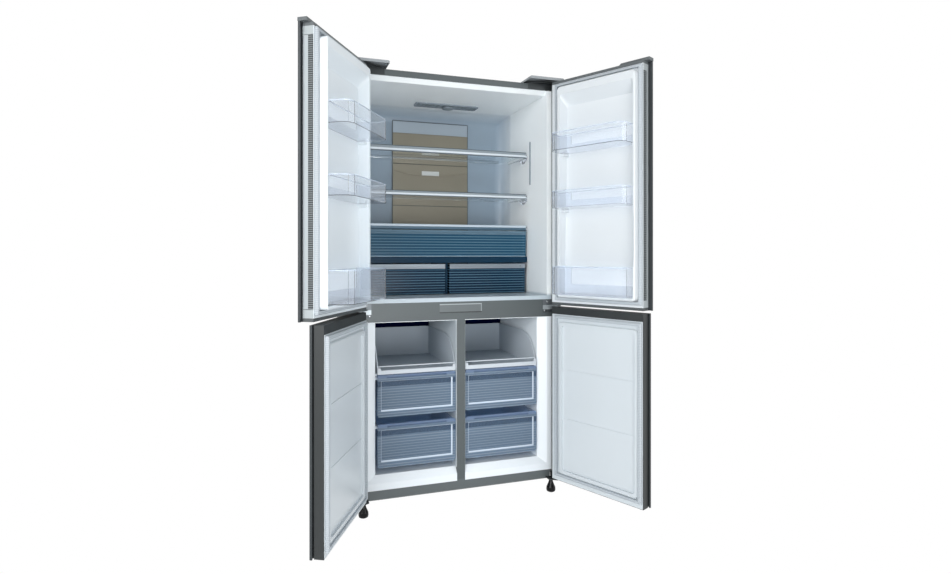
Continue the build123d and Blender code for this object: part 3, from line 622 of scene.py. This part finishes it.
def selectFaces(piece, test):
    # opens edit mode with the faces selected whose normal and middle pass the test
    pickOnly(piece)
    bpy.ops.object.mode_set(mode="EDIT")
    bpy.ops.mesh.select_mode(type="FACE")
    mesh = bmesh.from_edit_mesh(piece.data)
    for face in mesh.faces:
        face.select_set(bool(test(face.normal, face.calc_center_median())))
    mesh.select_flush_mode()
    bmesh.update_edit_mesh(piece.data)


def selectEdges(piece, test):
    # opens edit mode with the edges selected whose two ends pass the test
    selectFaces(piece, lambda normal, middle: False)
    mesh = bmesh.from_edit_mesh(piece.data)
    for edge in mesh.edges:
        edge.select_set(bool(test(*[corner.co for corner in edge.verts])))
    bpy.ops.mesh.select_mode(type="EDGE")
    bmesh.update_edit_mesh(piece.data)


def objectMode():
    bpy.ops.object.mode_set(mode="OBJECT")


def insetAndShift(inset, shift):
    # a step or a hollow in the selected faces, in millimetres
    bpy.ops.mesh.inset(thickness=inset / 1000)
    bpy.ops.transform.translate(value=tuple(part / 1000 for part in shift))


def joinPieces(pieces):
    deselectAll()
    for piece in pieces:
        piece.select_set(True)
    bpy.context.view_layer.objects.active = pieces[0]
    bpy.ops.object.join()
    return pieces[0]


def copyPiece(piece, name, shift=(0, 0, 0)):
    pickOnly(piece)
    bpy.ops.object.duplicate()
    twin = bpy.context.object
    twin.name = name
    twin.data.transform(Matrix.Translation(Vector(shift) / 1000))
    return twin


def mirrorPiece(piece, name):
    twin = copyPiece(piece, name)
    twin.data.transform(Matrix.Scale(-1, 4, (1, 0, 0)))
    turnNormalsOut(twin)
    return twin


def turnNormalsOut(piece):
    selectFaces(piece, lambda normal, middle: True)
    bpy.ops.mesh.remove_doubles(threshold=weldDistance)
    bpy.ops.mesh.normals_make_consistent(inside=False)
    objectMode()


def swingOpen(piece, door):
    side = doors[door]["side"]
    if side > 0:
        piece.data.transform(Matrix.Scale(-1, 4, (1, 0, 0)))
        turnNormalsOut(piece)
    pin = Vector((side * hinge["x"], hinge["y"], 0)) / 1000
    turn = Matrix.Rotation(math.radians(side * doors[door]["open"]), 4, "Z")
    piece.data.transform(Matrix.Translation(pin) @ turn @ Matrix.Translation(-pin))


def doorBlock(name, u, v, z):
    # u from the hinge axis to the free edge, v outwards from the door's inner face
    low = (u[0] - hinge["x"], hinge["innerFace"] - v[1], z[0])
    high = (u[1] - hinge["x"], hinge["innerFace"] - v[0], z[1])
    return addBlock(name, low, high)


def dressPiece(piece, body, finish):
    pickOnly(piece)
    bpy.ops.object.shade_smooth_by_angle(angle=smoothAngle)
    piece.data.materials.clear()
    piece.data.materials.append(materials[finish])
    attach(piece, body)


# ribbed seals between the upper doors

barSeal = {
    "axisU": 412, "axisV": 7.2, "sleeve": 6.8, "rib": 7.0, "faceU": 418.8, "ribU": 419.0,
    "v": (7.2, 19), "z": (877, 1773), "pitch": 7, "ribTall": 3.6, "ribStart": 2, "sides": 24,
}


def addBarSeal():
    low, high = barSeal["z"]
    x = barSeal["axisU"] - hinge["x"]
    y = hinge["innerFace"] - barSeal["axisV"]
    sleeve = addDisc("barSealSleeve", barSeal["sleeve"], (x, y, low), (x, y, high), barSeal["sides"])
    strip = doorBlock("barSealStrip", (barSeal["axisU"], barSeal["faceU"]), barSeal["v"], barSeal["z"])
    foot = low + barSeal["ribStart"]
    top = foot + barSeal["ribTall"]
    roundRib = addDisc("barSealRoundRib", barSeal["rib"], (x, y, foot), (x, y, top), barSeal["sides"])
    flatRib = doorBlock("barSealFlatRib", (barSeal["axisU"], barSeal["ribU"]), barSeal["v"], (foot, top))
    count = int((high - low - 2 * barSeal["ribStart"]) / barSeal["pitch"])
    for rib in (roundRib, flatRib):
        repeatUp(rib, count, barSeal["pitch"])
    seal = joinPieces([sleeve, strip, roundRib, flatRib])
    seal.name = "barSeal"
    swingOpen(seal, "upper_left_door")
    dressPiece(seal, "flip_bar", "sealRubber")


centreSeal = {
    "u": (418.6, 421.8), "v": (1.8, 18.2), "ribU": 422.2, "z": (875.8, 1774.2),
    "pitch": 7, "ribTall": 3.6, "ribStart": 3,
}


def addCentreSeal():
    low, high = centreSeal["z"]
    strip = doorBlock("centreSeal", centreSeal["u"], centreSeal["v"], centreSeal["z"])
    foot = low + centreSeal["ribStart"]
    ribSpan = (foot, foot + centreSeal["ribTall"])
    rib = doorBlock("centreSealRib", (centreSeal["u"][0], centreSeal["ribU"]), centreSeal["v"], ribSpan)
    count = int((high - low - 2 * centreSeal["ribStart"]) / centreSeal["pitch"])
    repeatUp(rib, count, centreSeal["pitch"])
    seal = joinPieces([strip, rib])
    swingOpen(seal, "upper_right_door")
    dressPiece(seal, "upper_right_door", "sealRubber")


addBarSeal()
addCentreSeal()
print("stage: seals between the upper doors")

# rims of the door bins, whiter and less clear than the bins so that they also stand for the bins' bright
# edges: partly painted highlight

binRim = {
    "u": (55.4, 395.6), "v": (-121.9, -38), "corner": 37, "cornerSteps": 2, "wide": 3.4, "tall": 3.2,
    "proud": 0.4, "round": 0.7, "tops": (1005, 1320, 1563),
}


def addBinRims():
    front = (hinge["innerFace"] - binRim["v"][0]) / 1000
    for door in ("upper_left_door", "upper_right_door"):
        for number, top in enumerate(binRim["tops"]):
            z = (top - binRim["tall"], top + binRim["proud"])
            rim = doorBlock(f"{door}BinRim{number + 1}", binRim["u"], binRim["v"], z)
            # round the two upright edges at the front, then open the block to a ring
            selectEdges(rim, lambda one, two: abs(one.z - two.z) > samePlace > abs(one.y - front))
            bpy.ops.mesh.bevel(
                offset=binRim["corner"] / 1000, segments=binRim["cornerSteps"], affect="EDGES",
            )
            objectMode()
            selectFaces(rim, lambda normal, middle: abs(normal.z) > facing)
            bpy.ops.mesh.inset(thickness=binRim["wide"] / 1000)
            bpy.ops.mesh.bridge_edge_loops()
            objectMode()
            roundEdges(rim, binRim["round"])
            swingOpen(rim, door)
            dressPiece(rim, door, "rimPlasticAndHighlight")


addBinRims()
print("stage: rims of the door bins")

# grips of the crispers

crisperGrip = {
    "x": (11, 389), "y": (194.8, 196.2), "z": (991, 1012.5), "round": 0.6, "edge": 2.5, "hollow": 0.4,
}
latchButton = {"x": 363, "y": (194.0, 196.0), "z": 1002, "radius": 2.6, "sides": 16, "round": 0.5}


def addCrisperGrips():
    low, high = zip(crisperGrip["x"], crisperGrip["y"], crisperGrip["z"])
    right = addBlock("rightCrisperGrip", low, high)
    selectFaces(right, lambda normal, middle: normal.y < -facing)
    insetAndShift(crisperGrip["edge"], (0, crisperGrip["hollow"], 0))
    objectMode()
    roundEdges(right, crisperGrip["round"])
    left = mirrorPiece(right, "leftCrisperGrip")
    dressPiece(right, "crisper_right", "gripSilver")
    dressPiece(left, "crisper_left", "gripSilver")


def addLatchButton():
    front, back = [(latchButton["x"], y, latchButton["z"]) for y in latchButton["y"]]
    button = addDisc("crisperLatchButton", latchButton["radius"], front, back, latchButton["sides"])
    roundEdges(button, latchButton["round"])
    dressPiece(button, "crisper_right", "blackPlastic")


addCrisperGrips()
addLatchButton()
print("stage: crisper grips")

# cool air outlets over the freezer trays, and the slats in them, in a navy dark enough to stand for the shade
# above the trays as well: partly painted shade

airOutlet = {"x": (24, 360), "y": (446.5, 449.6), "z": (705, 775), "frame": 4, "deep": 2.2}
airSlat = {"x": (27, 357), "y": (446.9, 449.0), "start": 710.5, "tall": 7, "count": 6, "round": 0.8}


def addAirOutlets():
    low, high = zip(airOutlet["x"], airOutlet["y"], airOutlet["z"])
    rim = addBlock("rightAirOutlet", low, high)
    selectFaces(rim, lambda normal, middle: normal.y < -facing)
    bpy.ops.mesh.inset(thickness=airOutlet["frame"] / 1000)
    bpy.ops.mesh.extrude_region_move(TRANSFORM_OT_translate={"value": (0, airOutlet["deep"] / 1000, 0)})
    objectMode()
    slatSpan = (airSlat["start"], airSlat["start"] + airSlat["tall"])
    low, high = zip(airSlat["x"], airSlat["y"], slatSpan)
    slat = addBlock("airSlat", low, high)
    roundEdges(slat, airSlat["round"])
    opening = airOutlet["z"][1] - airOutlet["z"][0] - 2 * airOutlet["frame"]
    repeatUp(slat, airSlat["count"], opening / airSlat["count"])
    right = joinPieces([rim, slat])
    left = mirrorPiece(right, "leftAirOutlet")
    for outlet in (right, left):
        dressPiece(outlet, "cabinet", "navyPlasticAndShade")


addAirOutlets()
print("stage: cool air outlets")

# bare plates on the duct panel, lens of the ceiling lamp

ductPlate = {
    "x": (-47, 43), "y": (479.4, 481.2), "levels": ((1559, 1579), (1453, 1475)),
    "edge": 2, "hollow": 0.5, "round": 0.5,
}
ceilingLens = {
    "x": 44, "y": 334, "z": (1757, 1762.8), "radius": 26, "sides": 40,
    "steps": ((5, -1.6), (8, -0.8)),
}


def addDuctPlates():
    for number, level in enumerate(ductPlate["levels"]):
        low, high = zip(ductPlate["x"], ductPlate["y"], level)
        plate = addBlock(f"ductPlate{number + 1}", low, high)
        selectFaces(plate, lambda normal, middle: normal.y < -facing)
        insetAndShift(ductPlate["edge"], (0, ductPlate["hollow"], 0))
        objectMode()
        roundEdges(plate, ductPlate["round"])
        dressPiece(plate, "cabinet", "plateLight")


def addCeilingLens():
    x, y, (low, high) = ceilingLens["x"], ceilingLens["y"], ceilingLens["z"]
    lens = addDisc("ceilingLens", ceilingLens["radius"], (x, y, low), (x, y, high), ceilingLens["sides"])
    selectFaces(lens, lambda normal, middle: normal.z < -facing)
    for inset, drop in ceilingLens["steps"]:
        insetAndShift(inset, (0, 0, drop))
    objectMode()
    dressPiece(lens, "cabinet", "lampPlastic")


addDuctPlates()
addCeilingLens()
print("stage: duct plates and ceiling lens")

# bright frames inside the freezer drawers' fronts, in pale plastic that stands for the bright refraction
# lines along the recesses: painted highlights

drawerHighlightFrame = {
    "x": (36, 343), "y": (6.8, 8.6), "inset": 4, "shift": (-2.8, 0, 3.2), "leftShift": (-379, 0, 0),
    "drawers": {"upper_freezer_drawer": (388, 560.5), "lower_freezer_drawer": (181, 359)}, "margin": 24,
    "round": 0.6,
}


def addDrawerHighlightFrames():
    x, y, margin = drawerHighlightFrame["x"], drawerHighlightFrame["y"], drawerHighlightFrame["margin"]
    for drawer, (low, high) in drawerHighlightFrame["drawers"].items():
        right = addBlock(f"{drawer}_right_highlight_frame", (x[0], y[0], low + margin), (x[1], y[1], high - margin))
        selectFaces(right, lambda normal, middle: abs(normal.y) > facing)
        insetAndShift(drawerHighlightFrame["inset"], drawerHighlightFrame["shift"])
        bpy.ops.mesh.bridge_edge_loops()
        objectMode()
        roundEdges(right, drawerHighlightFrame["round"])
        left = copyPiece(right, f"{drawer}_left_highlight_frame", drawerHighlightFrame["leftShift"])
        dressPiece(right, f"{drawer}_right", "highlightFramePlastic")
        dressPiece(left, f"{drawer}_left", "highlightFramePlastic")


addDrawerHighlightFrames()
print("stage: frames of the freezer drawers")

# screws in the middle hinges and on the back

screwHead = {
    "radius": 4.2, "sides": 20, "thick": 1.4, "round": 0.6,
    "cross": 2.6, "crossWide": 0.9, "crossDepths": (1.1, 1.5),
    "hingePlaces": ((392, 806), (432, 806), (405, 847)), "hingeY": -4.6,
    "backX": (-420, -210, 0, 210, 420), "backZ": (330, 1790), "backY": 594.0,
}


def makeScrew(x, y, z, outwards):
    top = (x, y + outwards * screwHead["thick"], z)
    head = addDisc("screwHead", screwHead["radius"], (x, y, z), top, screwHead["sides"])
    roundEdges(head, screwHead["round"])
    # a thin black cross in each head stands for its shaded cross recess: painted shade
    near, far = sorted(y + outwards * depth for depth in screwHead["crossDepths"])
    long, half = screwHead["cross"], screwHead["crossWide"] / 2
    bars = [
        addBlock("screwBar", (x - long, near, z - half), (x + long, far, z + half)),
        addBlock("screwBar", (x - half, near, z - long), (x + half, far, z + long)),
    ]
    return head, joinPieces(bars)


def addScrews():
    onHinges = [(side * x, z) for x, z in screwHead["hingePlaces"] for side in (-1, 1)]
    onBack = [(x, z) for x in screwHead["backX"] for z in screwHead["backZ"]]
    screws = [makeScrew(x, screwHead["hingeY"], z, -1) for x, z in onHinges]
    screws += [makeScrew(x, screwHead["backY"], z, 1) for x, z in onBack]
    head = joinPieces([screw[0] for screw in screws])
    head.name = "screwHeads"
    cross = joinPieces([screw[1] for screw in screws])
    # the black crosses: painted shade in the screws' recesses
    cross.name = "screwRecessShade"
    dressPiece(head, "cabinet", "screwSteel")
    dressPiece(cross, "cabinet", "blackPlastic")


addScrews()
print("stage: screws")
